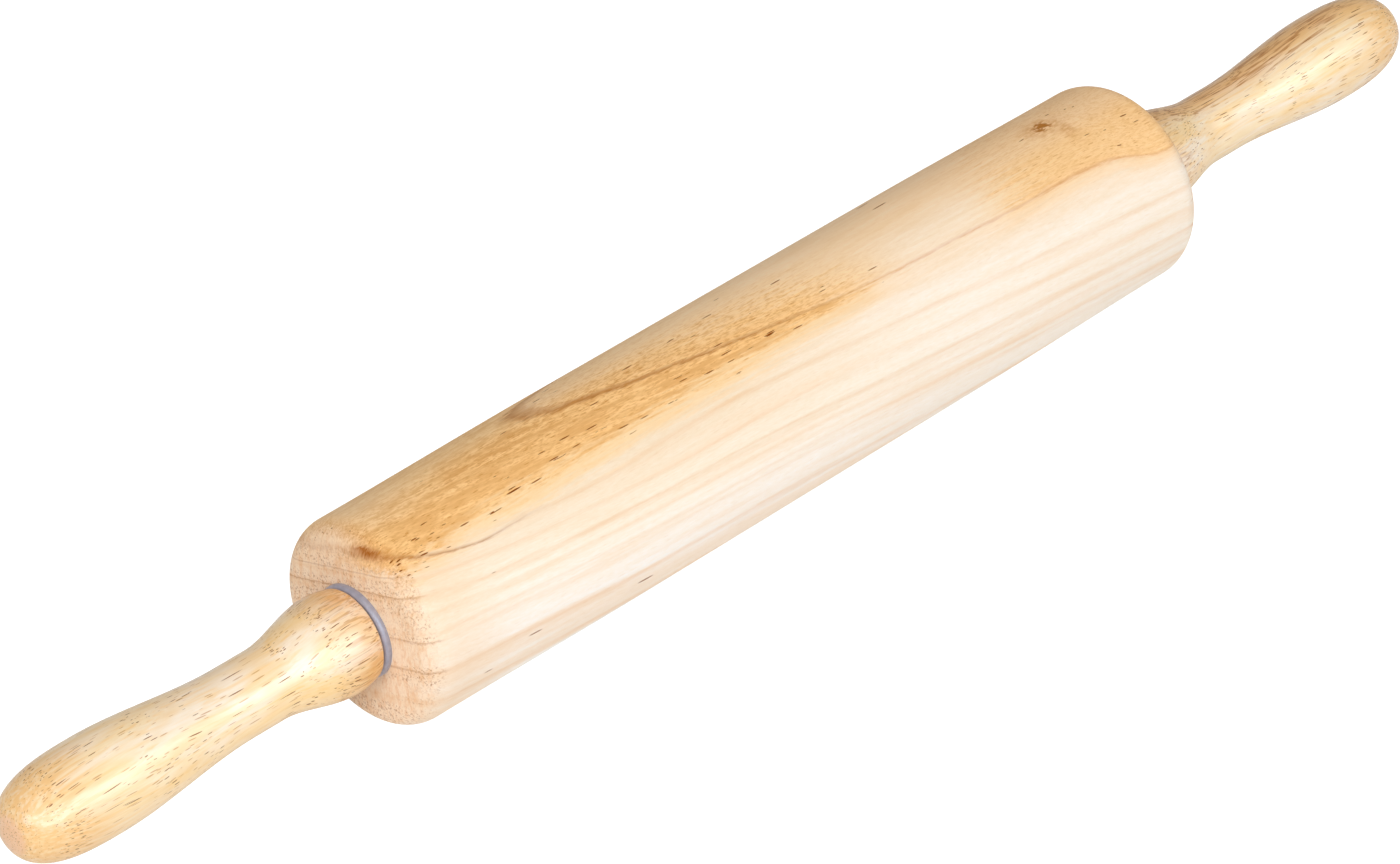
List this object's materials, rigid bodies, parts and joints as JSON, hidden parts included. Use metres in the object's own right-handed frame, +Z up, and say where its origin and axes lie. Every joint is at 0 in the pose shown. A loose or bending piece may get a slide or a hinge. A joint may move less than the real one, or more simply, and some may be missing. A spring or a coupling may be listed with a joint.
{
  "type": "rolling pin",
  "caption": "Turned wooden rolling pin: a straight barrel with rounded ends, free to roll on ball bearings round a steel rod that joins two waisted handles.",
  "frame": {"origin": "on the table under the middle of the barrel", "axes": "+X along the pin, from the left handle to the right handle; +Z up"},
  "size_m": [0.457, 0.0524, 0.0524],
  "materials": {
    "barrel_wood": "fine-sanded pale hardwood with an oiled, nearly matt surface",
    "handle_wood": "honey-coloured hardwood with dark pores under a semi-gloss lacquer",
    "cup_nylon": "satin blue-grey moulded nylon",
    "rod_steel": "drawn and ground steel",
    "ball_steel": "polished bearing steel"
  },
  "bodies": {
    "barrel": {"barrel": "barrel_wood", "left_bearing_cup": "cup_nylon", "right_bearing_cup": "cup_nylon"},
    "axle": {"axle_rod": "rod_steel", "left_bearing_cone": "rod_steel", "right_bearing_cone": "rod_steel", "left_handle": "handle_wood", "right_handle": "handle_wood"},
    "left_ball_ring": {"left_ball_01": "ball_steel", "left_ball_02": "ball_steel", "left_ball_03": "ball_steel", "left_ball_04": "ball_steel", "left_ball_05": "ball_steel", "left_ball_06": "ball_steel", "left_ball_07": "ball_steel", "left_ball_08": "ball_steel", "left_ball_09": "ball_steel", "left_ball_10": "ball_steel"},
    "right_ball_ring": {"right_ball_01": "ball_steel", "right_ball_02": "ball_steel", "right_ball_03": "ball_steel", "right_ball_04": "ball_steel", "right_ball_05": "ball_steel", "right_ball_06": "ball_steel", "right_ball_07": "ball_steel", "right_ball_08": "ball_steel", "right_ball_09": "ball_steel", "right_ball_10": "ball_steel"}
  },
  "joints": [
    {"name": "axle_spin", "type": "hinge", "parent": "barrel", "child": "axle", "pos_m": [0, 0, 0.02619], "axis": [1, 0, 0], "continuous": true},
    {"name": "left_balls_orbit", "type": "hinge", "parent": "barrel", "child": "left_ball_ring", "pos_m": [0, 0, 0.02619], "axis": [1, 0, 0], "continuous": true},
    {"name": "right_balls_orbit", "type": "hinge", "parent": "barrel", "child": "right_ball_ring", "pos_m": [0, 0, 0.02619], "axis": [1, 0, 0], "continuous": true}
  ],
  "couplings": [
    {"joint": "left_balls_orbit", "follows": "axle_spin", "ratio": 0.4},
    {"joint": "right_balls_orbit", "follows": "axle_spin", "ratio": 0.4}
  ]
}
